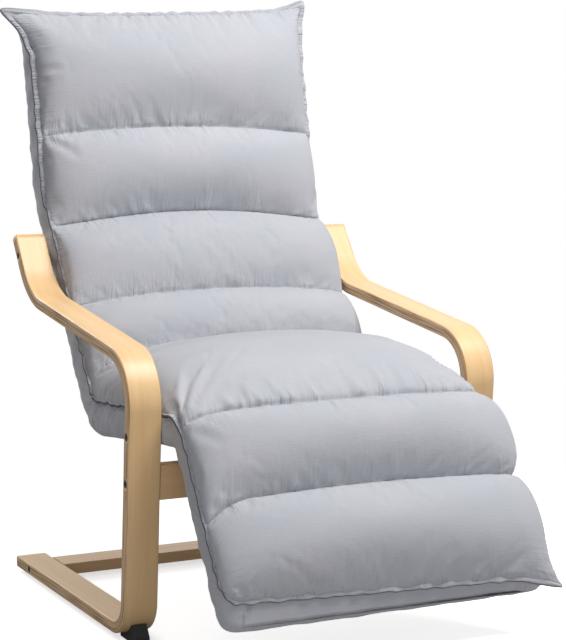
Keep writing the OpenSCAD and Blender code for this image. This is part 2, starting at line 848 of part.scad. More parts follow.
// Seat panel, from the knee to the corner with the back
function seat_rings() = [for (i = [0 : channel_n])
    let (t = i / channel_n, rear = pow(t, 8), y = soft_gap + (seat_pad_end - soft_gap) * t,
        crown = seat_crown + (seat_rear_crown - seat_crown) * t)
    pad_ring(y, pad_half_w - side_draw * rear, crown - corner_sink * rear,
        -seat_corner_lean * pow(t, 4), corner_rise(y - seat_len + corner_reach))];

module seat_pad() {
    color("lightsteelblue") chair() pad_skin(placed(seat_rings(), knee, seat_angle));
}

// Front roll of the seat panel, turned about the knee hinge down to the first seam of the leg
module knee_pad() {
    rings = [for (i = [0 : knee_n])
        let (t = i / knee_n, drop = pow(t, 3))
        [for (v = pad_ring(0, pad_half_w - side_draw * drop,
            seat_crown - (seat_crown - leg_seam) * drop, 0))
            place(knee, seat_angle + knee_span * t, v)]];
    color("lightsteelblue") chair() pad_skin([for (i = [knee_n : -1 : 0]) rings[i]]);
}

// Leg rest in its own frame: y runs from the foot, at -leg_len, up to the knee
function leg_pad_rings() = concat(
    panel_rings(-leg_len, -calf_panel, leg_crown * foot_crown_share, leg_crown, seam_edge_h,
        leg_seam, 0, 0, 0),
    panel_rings(-calf_panel, base_z * knee_lean - soft_gap, leg_crown, leg_crown, leg_seam,
        leg_seam, 0, knee_lean, 1));

module leg_rest_pad() {
    color("lightsteelblue") chair() pad_skin(placed(leg_pad_rings(), knee, leg_slope));
}

function lower_back_rings() = concat(
    panel_rings(back_pad_start, back_pad_start + lumbar_panel, back_crown, back_crown,
        back_crown - corner_sink, back_seam, back_corner_lean, 0, 0),
    panel_rings(back_pad_start + lumbar_panel, lower_pad_end, back_crown, back_crown,
        back_seam, back_seam, 0, -lower_split_lean, 1));

module lower_back_pad() {
    color("lightsteelblue") chair() pad_skin(placed(lower_back_rings(), hip, lower_angle));
}

function upper_back_rings() = concat(
    panel_rings(upper_pad_start, upper_len - head_panel, back_crown, back_crown, back_seam,
        back_seam, -upper_split_lean, 0, 0),
    panel_rings(upper_len - head_panel, upper_len, back_crown, back_crown * head_crown_share,
        back_seam, seam_edge_h, 0, 0, 1));

module upper_back_pad() {
    color("lightsteelblue") chair() pad_skin(placed(upper_back_rings(), upper, upper_angle));
}

left_side_frame();
right_side_frame();
front_rail();
rear_rail();
left_front_foot();
right_front_foot();
rear_pads();
foot_screws();
rail_bolts();
barrel_nuts();
rail_dowels();
back_frame_bolts();
seat_frame_bolts();
frame_spacers();
seat_frame();
seat_webbing();
lower_back_webbing();
upper_hinge_forks();
knee_hinge_forks();
upper_hinge_rivets();
knee_hinge_rivets();
upper_hinge_pawls();
knee_hinge_pawls();
seat_cover();
upper_fold();
knee_fold();
seat_pad();
knee_pad();
lower_back_pad();
upper_back_frame();
upper_ratchet_wheels();
upper_back_webbing();
upper_back_cover();
upper_back_pad();
leg_rest_frame();
knee_ratchet_wheels();
leg_rest_webbing();
leg_rest_cover();
leg_rest_pad();
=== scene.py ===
# Bentwood reclining lounge chair with a long quilted cushion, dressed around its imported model.
# Lengths are in metres, in the model's own frame: the chair faces -Y and Z is up.

import bpy
import json
import math
import numpy as np
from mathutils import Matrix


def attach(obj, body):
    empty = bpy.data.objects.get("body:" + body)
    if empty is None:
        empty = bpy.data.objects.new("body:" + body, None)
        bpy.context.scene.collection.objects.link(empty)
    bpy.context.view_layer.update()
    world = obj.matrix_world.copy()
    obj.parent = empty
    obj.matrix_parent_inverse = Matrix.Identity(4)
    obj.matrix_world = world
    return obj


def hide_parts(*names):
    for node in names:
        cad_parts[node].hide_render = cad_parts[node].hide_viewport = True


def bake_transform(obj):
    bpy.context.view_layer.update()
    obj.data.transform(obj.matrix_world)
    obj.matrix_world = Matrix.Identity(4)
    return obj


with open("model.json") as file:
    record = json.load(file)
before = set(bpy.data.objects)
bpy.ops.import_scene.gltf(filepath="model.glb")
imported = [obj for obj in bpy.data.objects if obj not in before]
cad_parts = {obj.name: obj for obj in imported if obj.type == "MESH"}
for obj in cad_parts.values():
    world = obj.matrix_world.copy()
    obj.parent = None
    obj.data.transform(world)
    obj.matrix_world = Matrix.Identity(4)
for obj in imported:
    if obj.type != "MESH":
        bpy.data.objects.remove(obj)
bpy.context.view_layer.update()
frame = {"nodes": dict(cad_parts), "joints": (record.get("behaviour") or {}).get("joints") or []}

# The studio: a plain pale floor and backdrop, a large soft window from the upper right, a weak
# fill from the left and one from behind. The camera stands where the photograph was taken.
scene = bpy.context.scene
scene.view_settings.view_transform = "Standard"
joints = {j["name"]: j for j in frame["joints"]}

camera = bpy.data.objects.new("photo_camera", bpy.data.cameras.new("photo_camera"))
camera.location = (-1.3822, joints["leg_rest_lift"]["pos_m"][1] - 2.6076, 0.8514)
camera.rotation_euler = (math.radians(90 - 6.68), 0, math.radians(-26.51))
camera.data.lens = 104.62
camera.data.clip_end = 60
scene.collection.objects.link(camera)
scene.camera = camera


def soft_lamp(name, place, aim, size, watts, tint):
    lamp = bpy.data.objects.new(name, bpy.data.lights.new(name, "AREA"))
    lamp.data.shape = "DISK"
    lamp.data.size = size
    lamp.data.energy = watts
    lamp.data.color = tint
    lamp.location = place
    way = np.array(aim) - np.array(place)
    lamp.rotation_euler = (math.atan2(math.hypot(way[0], way[1]), -way[2]), 0,
                           math.atan2(way[1], way[0]) - math.pi / 2)
    scene.collection.objects.link(lamp)


soft_lamp("window", (0.8, -0.95, 2.75), (0, 0, 0.5), 1.6, 75, (1, 0.985, 0.97))
soft_lamp("fill", (-1.4, -3.4, 1.3), (0, 0, 0.5), 2.4, 14, (0.98, 0.99, 1))
soft_lamp("rear", (-0.9, 3.0, 2.2), (0, 0, 0.3), 1.6, 40, (1, 0.98, 0.96))

room = bpy.data.worlds.new("white_room")
scene.world = room
room.use_nodes = True
sky = room.node_tree
sky.nodes.clear()
rays = sky.nodes.new("ShaderNodeLightPath")
seen = sky.nodes.new("ShaderNodeMath")
seen.operation = "MAXIMUM"
mirrored = sky.nodes.new("ShaderNodeMath")
mirrored.operation = "MAXIMUM"
sky.links.new(rays.outputs["Is Camera Ray"], seen.inputs[0])
sky.links.new(rays.outputs["Is Glossy Ray"], mirrored.inputs[0])
sky.links.new(rays.outputs["Is Transmission Ray"], mirrored.inputs[1])
sky.links.new(mirrored.outputs[0], seen.inputs[1])
ambient = sky.nodes.new("ShaderNodeBackground")
ambient.inputs["Color"].default_value = (0.95, 0.97, 1, 1)
ambient.inputs["Strength"].default_value = 0.24
backdrop = sky.nodes.new("ShaderNodeBackground")
backdrop.inputs["Color"].default_value = (1, 1, 1, 1)
backdrop.inputs["Strength"].default_value = 1
sky_mix = sky.nodes.new("ShaderNodeMixShader")
sky_out = sky.nodes.new("ShaderNodeOutputWorld")
sky.links.new(seen.outputs[0], sky_mix.inputs[0])
sky.links.new(ambient.outputs[0], sky_mix.inputs[1])
sky.links.new(backdrop.outputs[0], sky_mix.inputs[2])
sky.links.new(sky_mix.outputs[0], sky_out.inputs[0])


class Finish:
    """A material under construction, with short ways to add and join its nodes. Inputs are
    given by their names, or as i0, i1 and so on by their places."""

    def __init__(self, name, color, rough, **sockets):
        self.material = bpy.data.materials.new(name)
        self.material.use_nodes = True
        self.tree = self.material.node_tree
        self.skin = self.tree.nodes["Principled BSDF"]
        self.skin.inputs["Base Color"].default_value = (*color, 1)
        self.skin.inputs["Roughness"].default_value = rough
        for socket, value in sockets.items():
            self.skin.inputs[socket.replace("_", " ")].default_value = value

    def add(self, kind, settings=None, **inputs):
        made = self.tree.nodes.new("ShaderNode" + kind)
        for key, value in (settings or {}).items():
            setattr(made, key, value)
        for key, value in inputs.items():
            self.feed(made, key.replace("_", " "), value)
        return made

    def feed(self, to, key, value):
        socket = to.inputs[int(key[1:])] if key[0] == "i" and key[1:].isdigit() else to.inputs[key]
        if hasattr(value, "outputs"):
            value = value.outputs[0]
        if hasattr(value, "is_output"):
            self.tree.links.new(value, socket)
        else:
            socket.default_value = value

    def math(self, operation, a, b=0.0):
        return self.add("Math", {"operation": operation}, i0=a, i1=b)

    def own(self, name):
        """A value that the mesh carries at each point."""
        return self.add("Attribute", {"attribute_name": name}).outputs["Fac"]

    def place(self):
        """Where a point lies in the piece's own space."""
        return self.add("TexCoord").outputs["Object"]

    def noise(self, scale, detail, *axes, settings=None, **more):
        """Noise over up to three values, each stretched by its own factor."""
        joined = self.add("CombineXYZ")
        for k, (value, factor) in enumerate(axes):
            self.feed(joined, f"i{k}", value if factor == 1 else
                      self.math("MULTIPLY", value, factor))
        return self.add("TexNoise", settings, Vector=joined, Scale=scale, Detail=detail, **more)

    def ramp(self, value, *stops):
        made = self.add("ValToRGB", Fac=value)
        bar = made.color_ramp
        while len(bar.elements) < len(stops):
            bar.elements.new(0.5)
        for element, (place, color) in zip(bar.elements, stops):
            element.position = place
            element.color = (*color, 1) if len(color) == 3 else (color[0],) * 3 + (1,)
        return made

    def blend(self, share, a, b):
        made = self.add("Mix", {"data_type": "RGBA"})
        self.feed(made, "i0", share)
        self.feed(made, "i6", a)
        self.feed(made, "i7", b)
        return made.outputs[2]

    def bump(self, height, distance, strength=1.0, under=None):
        made = self.add("Bump", Height=height, Distance=distance, Strength=strength)
        if under:
            self.feed(made, "Normal", under)
        self.feed(self.skin, "Normal", made)
        return made

    def speckled(self, scale, detail, colors, roughs, distance, strength):
        """Lets colour, gloss and surface vary in fine specks."""
        specks = self.add("TexNoise", Vector=self.place(), Scale=scale, Detail=detail)
        self.feed(self.skin, "Base Color", self.ramp(specks, *colors))
        if roughs:
            self.feed(self.skin, "Roughness", self.ramp(specks, *roughs))
        self.bump(specks, distance, strength)
        return self


studio_floor = Finish("studio_floor", (0.93, 0.93, 0.93), 0.9)
glow = studio_floor.add("Emission", Color=(1, 1, 1, 1), Strength=0.66)
near_chair = studio_floor.add("AddShader", i0=studio_floor.skin, i1=glow)
bare_white = studio_floor.add("Emission", Color=(1, 1, 1, 1), Strength=1.0)
away = studio_floor.add("VectorMath", {"operation": "LENGTH"}, i0=studio_floor.place())
far = studio_floor.ramp(studio_floor.math("MULTIPLY", away.outputs["Value"], 0.25),
                        (0.17, (0.0,)), (0.33, (1.0,)))
shown = studio_floor.add("MixShader", i0=far, i1=near_chair, i2=bare_white)
muted = studio_floor.add("BsdfDiffuse", Color=(0.45, 0.45, 0.45, 1))
lit = studio_floor.add("MixShader", i0=studio_floor.add("LightPath").outputs["Is Camera Ray"],
                       i1=muted, i2=shown)
studio_floor.feed(studio_floor.tree.nodes["Material Output"], "Surface", lit)

floor_mesh = bpy.data.meshes.new("studio_floor")
floor_mesh.from_pydata([(-14, -14, 0), (14, -14, 0), (14, 14, 0), (-14, 14, 0)], [], [(0, 1, 2, 3)])
floor_mesh.materials.append(studio_floor.material)
studio_ground = bpy.data.objects.new("studio_floor", floor_mesh)
scene.collection.objects.link(studio_ground)


# Side frames: each is one board of birch veneers, glued up and bent in a press into arm, post and
# runner, then sanded and lacquered. Its edges show the veneers as fine lines.
knee = np.array(joints["leg_rest_lift"]["pos_m"][1:])
upper_hinge = np.array(joints["upper_back_recline"]["pos_m"][1:])
post_top = knee + (0.021, 0.122)

board_width, board_thick, edge_round = 0.056, 0.020, 0.003
board_middle = 0.305
board_step = 0.008
board_turns = [post_top + p for p in
               ((0.543, 0.157), (0.474, 0.060), (0, 0), (0.035, -0.452), (0.565, -0.452))]
outer_radii = (0.121 + board_thick, 0.089, 0.060)
veneer_thick, glue_thick = 0.00144, 0.00013


def rounded_way(corners, radii, step):
    """Points, headings and distances along a way of straight runs and round bends, side view."""
    places, headings = [], []
    cut = [0.0]
    for i, r in enumerate(radii, 1):
        a, b, c = corners[i - 1], corners[i], corners[i + 1]
        turn = math.remainder(math.atan2(*(c - b)[::-1]) - math.atan2(*(b - a)[::-1]), 2 * math.pi)
        cut.append(r * math.tan(abs(turn) / 2))
    cut.append(0.0)
    for i in range(len(corners) - 1):
        a, b = corners[i], corners[i + 1]
        way = (b - a) / np.linalg.norm(b - a)
        heading = math.atan2(way[1], way[0])
        start, end = a + way * cut[i], b - way * cut[i + 1]
        n = max(2, int(np.linalg.norm(end - start) / step))
        for t in np.linspace(0, 1, n + 1)[(1 if i else 0):]:
            places.append(start + (end - start) * t)
            headings.append(heading)
        if i < len(radii):
            c = corners[i + 2]
            ahead = math.atan2(*(c - b)[::-1])
            turn = math.remainder(ahead - heading, 2 * math.pi)
            r = radii[i] * (1 if turn > 0 else -1)
            centre = end + r * np.array([-way[1], way[0]])
            m = max(4, int(abs(r * turn) / step * 2))
            for t in np.linspace(0, 1, m + 1)[1:]:
                h = heading + turn * t
                places.append(centre + r * np.array([math.sin(h), -math.cos(h)]))
                headings.append(h)
    places = np.array(places)
    run = np.concatenate([[0], np.cumsum(np.linalg.norm(np.diff(places, axis=0), axis=1))])
    return places, np.unwrap(headings), run


def mesh_piece(name, rings, finish, values=None):
    """A closed mesh through rings of points, with values that the material reads at each point."""
    n, m = len(rings), len(rings[0])
    points = np.array(rings).reshape(-1, 3)
    quads = [(i * m + k, i * m + (k + 1) % m, (i + 1) * m + (k + 1) % m, (i + 1) * m + k)
             for i in range(n - 1) for k in range(m)]
    faces = quads + [tuple(range(m - 1, -1, -1)), tuple(range((n - 1) * m, n * m))]
    a, b, c, d = (points[np.array(quads)[:, k]] for k in range(4))
    volume = np.einsum("ij,ij->i", a, np.cross(b, c) + np.cross(c, d)).sum()
    if volume < 0:
        faces = [face[::-1] for face in faces]
    mesh = bpy.data.meshes.new(name)
    mesh.from_pydata(points.tolist(), [], faces)
    for key, per_point in (values or {}).items():
        layer = mesh.attributes.new(key, "FLOAT", "POINT")
        layer.data.foreach_set("value", np.asarray(per_point, np.float32).ravel())
    mesh.polygons.foreach_set("use_smooth", [True] * len(mesh.polygons))
    mesh.materials.append(finish.material)
    mesh.update()
    piece = bpy.data.objects.new(name, mesh)
    scene.collection.objects.link(piece)
    return piece


birch_rough, lacquer = 0.42, {"Coat_Weight": 0.14, "Coat_Roughness": 0.32}
birch = Finish("lacquered_birch", (0.72, 0.52, 0.31), birch_rough, **lacquer)
along, across, depth = birch.own("run"), birch.own("across"), birch.own("depth")
on_edge = birch.own("edge")
figure = birch.noise(75.0, 5.0, (across, 1), (along, 0.05), (depth, 1), Distortion=0.6)
pores = birch.noise(900.0, 2.0, (across, 1), (along, 0.02), (depth, 1))
face_color = birch.ramp(figure, (0.3, (0.86, 0.555, 0.27)), (0.52, (0.90, 0.60, 0.305)),
                        (0.72, (0.93, 0.65, 0.355)))
face_color = birch.blend(birch.math("MULTIPLY", pores, 0.16), face_color, (0.5, 0.31, 0.15, 1))
veneer = birch.noise(1.0, 1.0, (depth, 420.0), (along, 9.0), settings={"noise_dimensions": "2D"})
glue_line = birch.math("LESS_THAN", birch.math("PINGPONG", depth, veneer_thick / 2), glue_thick)
edge_color = birch.ramp(veneer, (0.32, (0.38, 0.21, 0.085)), (0.5, (0.74, 0.47, 0.24)),
                        (0.68, (0.90, 0.64, 0.38)))
edge_color = birch.blend(birch.math("MULTIPLY", glue_line, 0.45), edge_color, (0.3, 0.17, 0.08, 1))
birch.feed(birch.skin, "Base Color", birch.blend(on_edge, face_color, edge_color))
birch.bump(pores, 0.0004, 0.25)


def board_section():
    """Cross-section of the board: its long edges are rounded, its faces have points enough to
    follow the bends."""
    half_w, half_t = board_width / 2, board_thick / 2
    corner = []
    for cx, cz, first in ((1, 1, 0), (-1, 1, 90), (-1, -1, 180), (1, -1, 270)):
        for a in np.radians(np.arange(first, first + 91, 15)):
            corner.append((cx * (half_w - edge_round) + edge_round * math.cos(a),
                           cz * (half_t - edge_round) + edge_round * math.sin(a)))
        if cx * cz > 0:
            for t in np.linspace(0, 1, 8)[1:-1]:
                corner.append((cx * (half_w - edge_round) * (1 - 2 * t), cz * half_t))
    return np.array(corner)


def laminated_board(name, side):
    """The bent board of one side, swept along its middle line."""
    centre = []
    for i, p in enumerate(board_turns):
        back = p - board_turns[i - 1] if i else None
        ahead = board_turns[i + 1] - p if i < len(board_turns) - 1 else None
        left = [np.array([-w[1], w[0]]) / np.linalg.norm(w) for w in (back, ahead) if w is not None]
        mean = sum(left) / np.linalg.norm(sum(left))
        centre.append(p + mean * board_thick / 2 / (mean @ left[0]))
    places, headings, run = rounded_way(centre, [r - board_thick / 2 for r in outer_radii],
                                        board_step)
    section = board_section()
    on_rounding = np.abs(section[:, 0]) > board_width / 2 - edge_round * 0.6
    rings, across_v, depth_v, run_v, edge_v = [], [], [], [], []
    end_inset = 0.97  # the arm's end has an inner ring, so that its edge shows crisply
    for i, (p, h, r) in enumerate(zip(places, headings, run)):
        out = np.array([math.sin(h), -math.cos(h)])
        for share in (1,) if i else (end_inset, 1):
            x = side * (board_middle + section[:, 0] * share)
            rings.append(np.column_stack([x, p + np.outer(section[:, 1] * share, out)]))
            across_v.append(section[:, 0])
            depth_v.append(section[:, 1])
            run_v.append(np.full(len(section), r))
            edge_v.append(on_rounding)
    board = mesh_piece(name, rings, birch, {"run": run_v, "across": across_v,
                                            "depth": depth_v, "edge": edge_v})
    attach(board, "chair_frame")
    return board


# The bolts' heads lie in flat-bottomed recesses, bored into the outer edges.
bolt_centres = knee + np.array(((0.5501, 0.2422), (0.0407, -0.0022), (0.0465, -0.0772),
                                (0.5180, -0.3200)))
recess_radius, recess_depth, outer_edge = 0.007, 0.005, 0.333
bit_overrun = 0.01


def bored(board, side):
    """Cuts the four recesses into one board."""
    turn = np.linspace(0, 2 * math.pi, 33)[:-1]
    depths = (outer_edge - recess_depth, outer_edge + bit_overrun)
    cutters = [mesh_piece("recess", [[(side * x, y + recess_radius * math.cos(a),
                                       z + recess_radius * math.sin(a)) for a in turn]
                                     for x in depths], birch) for y, z in bolt_centres]
    for cutter in cutters:
        cut = board.modifiers.new("recess", "BOOLEAN")
        cut.operation, cut.solver, cut.object = "DIFFERENCE", "EXACT", cutter
    solid = bpy.data.meshes.new_from_object(
        board.evaluated_get(bpy.context.evaluated_depsgraph_get()))
    board.modifiers.clear()
    board.data = solid
    for cutter in cutters:
        bpy.data.objects.remove(cutter)


for side, which in ((1, "left"), (-1, "right")):
    bent_board = laminated_board(which + "_bent_board", side)
    bored(bent_board, side)
    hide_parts(which + "_side_frame")


# Rails: two straight boards of the same birch, glued up from veneers too, bolted between the side
# frames. The front one stands on edge between the posts, the rear one lies flat on the runners.
rail_birch = Finish("lacquered_birch_rail", (0.7, 0.5, 0.3), birch_rough, **lacquer)
place = rail_birch.add("SeparateXYZ", Vector=rail_birch.place()).outputs
lengthwise = (place[0], 0.05), (place[1], 1), (place[2], 1)
rail_figure = rail_birch.noise(75.0, 5.0, *lengthwise, Distortion=0.6)
rail_pores = rail_birch.noise(900.0, 2.0, *lengthwise)
rail_color = rail_birch.ramp(rail_figure, (0.3, (0.80, 0.51, 0.26)), (0.52, (0.87, 0.575, 0.305)),
                             (0.72, (0.91, 0.64, 0.37)))
rail_birch.feed(rail_birch.skin, "Base Color", rail_birch.blend(
    rail_birch.math("MULTIPLY", rail_pores, 0.2), rail_color, (0.5, 0.31, 0.15, 1)))
rail_birch.bump(rail_pores, 0.0004, 0.25)


def coat(finish, *names):
    """Gives that finish to the solids of those names."""
    for name in names:
        solid = frame["nodes"][name].data
        solid.materials.clear()
        solid.materials.append(finish.material)


coat(rail_birch, "front_rail", "rear_rail", "rail_dowels")


# Feet: moulded black rubber, a wedge under each front bend and a flat pad under each runner's end,
# with a fine matt grain and a little dust in it. The bushes at the steel frame are rubber too.
rubber = Finish("foot_rubber", (0.012, 0.012, 0.013), 0.6).speckled(
    700.0, 3.0, ((0.35, (0.008, 0.008, 0.009)), (0.75, (0.03, 0.03, 0.031))),
    ((0.3, (0.5,)), (0.7, (0.75,))), 0.0003, 0.5)
coat(rubber, "left_front_foot", "right_front_foot", "rear_pads", "frame_spacers")


# Fastenings: blackened steel bolts whose round heads with a hexagon socket lie in the boards'
# outer edges, their barrel nuts in the rails, and the screws of the feet.
black_steel = Finish("blackened_steel", (0.05, 0.045, 0.045), 0.42, Metallic=0.9).speckled(
    260.0, 4.0, ((0.35, (0.03, 0.027, 0.027)), (0.7, (0.11, 0.095, 0.085))),
    ((0.3, (0.35,)), (0.7, (0.55,))), 0.0002, 0.3)
coat(black_steel, "back_frame_bolts", "seat_frame_bolts", "rail_bolts", "barrel_nuts",
     "foot_screws")


# Steel frame inside the cushion: bent and welded tube with a dark powder coat, and the ratchet
# hinges of zinc-plated steel that join its three parts.
powder = Finish("powder_coat", (0.03, 0.03, 0.033), 0.5, Metallic=0.0).speckled(
    420.0, 2.0, ((0.3, (0.022, 0.022, 0.025)), (0.7, (0.045, 0.045, 0.05))),
    ((0.3, (0.42,)), (0.7, (0.58,))), 0.0003, 0.4)
zinc = Finish("zinc_plate", (0.55, 0.55, 0.56), 0.35, Metallic=1.0).speckled(
    300.0, 5.0, ((0.35, (0.4, 0.4, 0.41)), (0.7, (0.66, 0.66, 0.66))),
    ((0.3, (0.28,)), (0.7, (0.48,))), 0.0001, 0.3)
coat(powder, "seat_frame", "upper_back_frame", "leg_rest_frame")
coat(zinc, *(name for name in frame["nodes"]
             if name.startswith(("upper_hinge", "knee_hinge")) or "ratchet" in name))


# Webbing: woven straps 50 mm wide, looped tight round the side tubes to carry the cushion. Their
# ribs lie 2.4 mm apart.
strap = Finish("woven_webbing", (0.03, 0.03, 0.035), 0.85)
strap_place = strap.add("SeparateXYZ", Vector=strap.place())
rib = strap.math("SINE", strap.math("MULTIPLY", strap_place.outputs[0], 2600.0))
strap.feed(strap.skin, "Base Color", strap.ramp(rib, (0.2, (0.018, 0.018, 0.022)),
                                                (0.8, (0.05, 0.05, 0.058))))
strap.bump(rib, 0.0006, 0.8)
coat(strap, *(name for name in frame["nodes"] if name.endswith("webbing")))


# Lower layer of the cushion: a flat box of the grey cloth over thin wadding, sewn as a sleeve
# round the steel frame. A boxing strip goes round its edge, up to the flange seam.
hip = knee + (0.368, -0.024)
leg_length, back_length = 0.316, 0.352
leg_slope, back_slope = math.radians(57), math.radians(78.4)
bend_radii = (0.045, 0.060, 0.10)
seam_h = 0.0285  # height of the flange seam above the tubes' middle line


def toward(angle):
    return np.array([math.cos(angle), math.sin(angle)])


spare = 0.06  # the middle line goes on by this much at both ends
corners = [knee - toward(leg_slope) * (leg_length + spare), knee, hip, upper_hinge,
           upper_hinge + toward(back_slope) * (back_length + spare)]
spine_places, spine_headings, spine_run = rounded_way(corners, bend_radii, 0.001)
straight = [np.linalg.norm(b - a) for a, b in zip(corners, corners[1:])]
marks = np.cumsum([0] + straight)
run_marks = [0] + [spine_run[np.argmin(np.linalg.norm(spine_places - c, axis=1))]
                   for c in corners[1:-1]] + [spine_run[-1]]
foot_at = 0.0
knee_at, hip_at, upper_at, head_at = marks[1:] - spare - [0, 0, 0, spare]


def spine(u):
    """Side-view place and slope of the cushion's middle line, u from the foot end."""
    r = np.interp(u, marks - spare, run_marks)
    return [np.interp(r, spine_run, line)
            for line in (spine_places[:, 0], spine_places[:, 1], spine_headings)]


def in_chair(u, x, h, plane=None):
    """Places of points of the cushion: u along it, x across it, h off its middle line."""
    y, z, slope = spine(u)
    plane = slope + math.pi / 2 if plane is None else plane
    return np.stack(np.broadcast_arrays(x, y + h * np.cos(plane), z + h * np.sin(plane)), -1)


# The ears at the corners, at the camera's side (-X) and at the far side: how far they are drawn
# out along the cushion and across it, and where they begin.
ear_from, ear_wide, ear_tip = 0.200, 0.066, 0.266
head_reach, foot_reach = 0.120, 0.095
head_ear_near, head_ear_far = (0.004, -0.055), (0.014, 0.018)
foot_ear_near, foot_ear_far = (0, 0.010), (-0.025, 0.036)
ear_bottom, ear_top, ear_least = -0.029, 0.045, 0.15
# The seam also rises at both ends, more at one side, dips in the middle of the head, and the
# leg rest spreads at the far side.
head_rise, head_lean = 0.013, 0.009
foot_rise, foot_lean, tube_top = 0.0245, 0.0115, 0.011
head_dip, dip_reach = 0.008, 0.05
far_spread, spread_from, spread_reach = 0.016, 0.02, 0.12


def drawn_out(u, x, h):
    """Draws the cushion's seam out into the ears at its corners and up from the edge of the foot
    end, and lets the side away from the camera spread on the leg rest."""
    front = np.clip((h - ear_bottom) / (seam_h - ear_bottom), 0, 1) ** 1.5
    front = front * np.clip(1 - (h - seam_h) / ear_top, ear_least, 1)
    side = np.clip((np.abs(x) - ear_from) / ear_wide, 0, 1)
    head = np.clip((u - head_at + head_reach) / head_reach, 0, 1)
    foot = np.clip((foot_reach - u) / foot_reach, 0, 1)
    is_far, along = x > 0, x / ear_tip
    head_ear = (side * head) ** 3 * front
    foot_ear = side ** 3 * foot ** 3 * front
    over_tube = np.clip((h - tube_top) / (seam_h - tube_top), 0, 1)
    du = head_ear * np.where(is_far, head_ear_far[0], head_ear_near[0])
    du = du + foot_ear * np.where(is_far, foot_ear_far[0], foot_ear_near[0])
    du = du + head * (head_rise + head_lean * along)
    du = du + foot * over_tube * (foot_rise - foot_lean * along)
    dip = np.clip((u - head_at + dip_reach) / dip_reach, 0, 1)
    du = du - head_dip * dip * (1 - np.minimum(along ** 4, 1))
    dx = head_ear * np.where(is_far, head_ear_far[1], head_ear_near[1])
    dx = dx + foot_ear * np.where(is_far, foot_ear_far[1], foot_ear_near[1])
    spread = far_spread * np.clip((knee_at + spread_from - u) / spread_reach, 0, 1)
    return u + du, x + dx + spread * np.clip(along, 0, 1)


def waver(t, seed, wave, cycles=5):
    """A smooth wandering line, about one unit high, with waves near that length."""
    r = np.random.default_rng(seed)
    return sum(np.sin(2 * math.pi * t / (wave * r.uniform(0.6, 1.7)) + r.uniform(0, 6.28))
               for _ in range(cycles)) / cycles ** 0.5


# The cloth is a plain weave with thicker threads here and there. Where a seam holds it, it creases
# finely across the seam, in some places more strongly, and along the flange the other way.
cloth = Finish("grey_slub_cloth", (0.50, 0.505, 0.535), 0.82, Sheen_Weight=0.15,
               Sheen_Roughness=0.45, Specular_IOR_Level=0.2)
thread_x, thread_u = cloth.own("thread_x"), cloth.own("thread_u")
slub = cloth.noise(1.0, 3.0, (thread_x, 55.0), (thread_u, 620.0), Roughness=0.6)
weft = cloth.noise(1.0, 2.0, (thread_x, 1100.0), (thread_u, 420.0))
mottle = cloth.noise(1.0, 2.0, (thread_x, 6.0), (thread_u, 9.0))
cloth_color = cloth.ramp(mottle, (0.35, (0.485, 0.504, 0.550)), (0.5, (0.506, 0.517, 0.560)),
                         (0.65, (0.528, 0.528, 0.572)))
cloth_color = cloth.blend(cloth.ramp(slub, (0.35, (0.0,)), (0.7, (0.28,))), cloth_color,
                          (0.40, 0.41, 0.44, 1))
cloth.feed(cloth.skin, "Base Color", cloth_color)
cloth.feed(cloth.skin, "Roughness", cloth.ramp(weft, (0.3, (0.72,)), (0.7, (0.9,))))
woven = cloth.bump(slub, 0.0010, 0.5, cloth.bump(weft, 0.0005, 0.35))
creases = cloth.noise(1.0, 2.0, (thread_x, 105.0), (thread_u, 20.0), Roughness=0.5, Distortion=0.7)
patches = cloth.noise(1.0, 1.0, (thread_x, 19.0), (thread_u, 11.0))
creased = cloth.math("MULTIPLY", cloth.own("tight"),
                     cloth.ramp(patches, (0.38, (0.10,)), (0.60, (1.0,))))
creased = cloth.math("MULTIPLY", creases, creased)
puckers = cloth.noise(1.0, 2.0, (thread_u, 85.0), (thread_x, 12.0), Roughness=0.5, Distortion=0.7)
puckered = cloth.math("MULTIPLY", puckers, cloth.own("edge_tight"))
cloth.bump(cloth.math("ADD", creased, puckered), 0.013, 0.8, woven)


def evenly(points, count):
    """The same line through that many points at equal distances."""
    run = np.concatenate([[0], np.cumsum(np.linalg.norm(np.diff(points, axis=0), axis=1))])
    at = np.linspace(0, run[-1], count)
    return np.column_stack([np.interp(at, run, points[:, k]) for k in range(points.shape[1])])


held_half_width, free_growth, free_from, free_reach = 0.2655, 0.0055, 0.05, 0.09
rear_faces = {  # how far the rear face lies behind the middle line, at places along the cushion
    foot_at: 0.0205, knee_at + 0.05: 0.0195, hip_at - 0.05: 0.031, hip_at + 0.03: 0.036,
    upper_at: 0.031, head_at: 0.030}
bushes = (knee_at + 0.0407, upper_at - 0.086)  # where the bolts of the steel frame come in
bush_swell, bush_reach = 0.0090, 0.026
round_edge, round_plan = 0.010, 0.030  # of the box: along its rear edge, and its corners
strip_bow, turned_in = 0.0035, 0.012   # the strip bulges, and its upper edge is turned in
# creases in the strip, (wave length, height), and the folds that fan out at a bend
small_crease, long_crease = (0.034, 0.0010), (0.090, 0.0010)
fan_folds, fan_fold_width, fan_height, fan_reach = (-0.95, -0.3, 0.3, 0.85), 0.14, 0.0032, 0.055
fan_off = 0.004  # they meet this far outside the cushion
belly_half, belly_sag, belly_wave = 0.24, 0.0016, 0.16
pucker_reach, pucker_wave, pucker_height = 0.02, 0.070, 0.0005


def half_width(u):
    """Half the width at the seam: held in between the arms, free above them."""
    free = np.clip((u - upper_at + free_from) / free_reach, 0, 1)
    return held_half_width + free_growth * free * free * (3 - 2 * free)


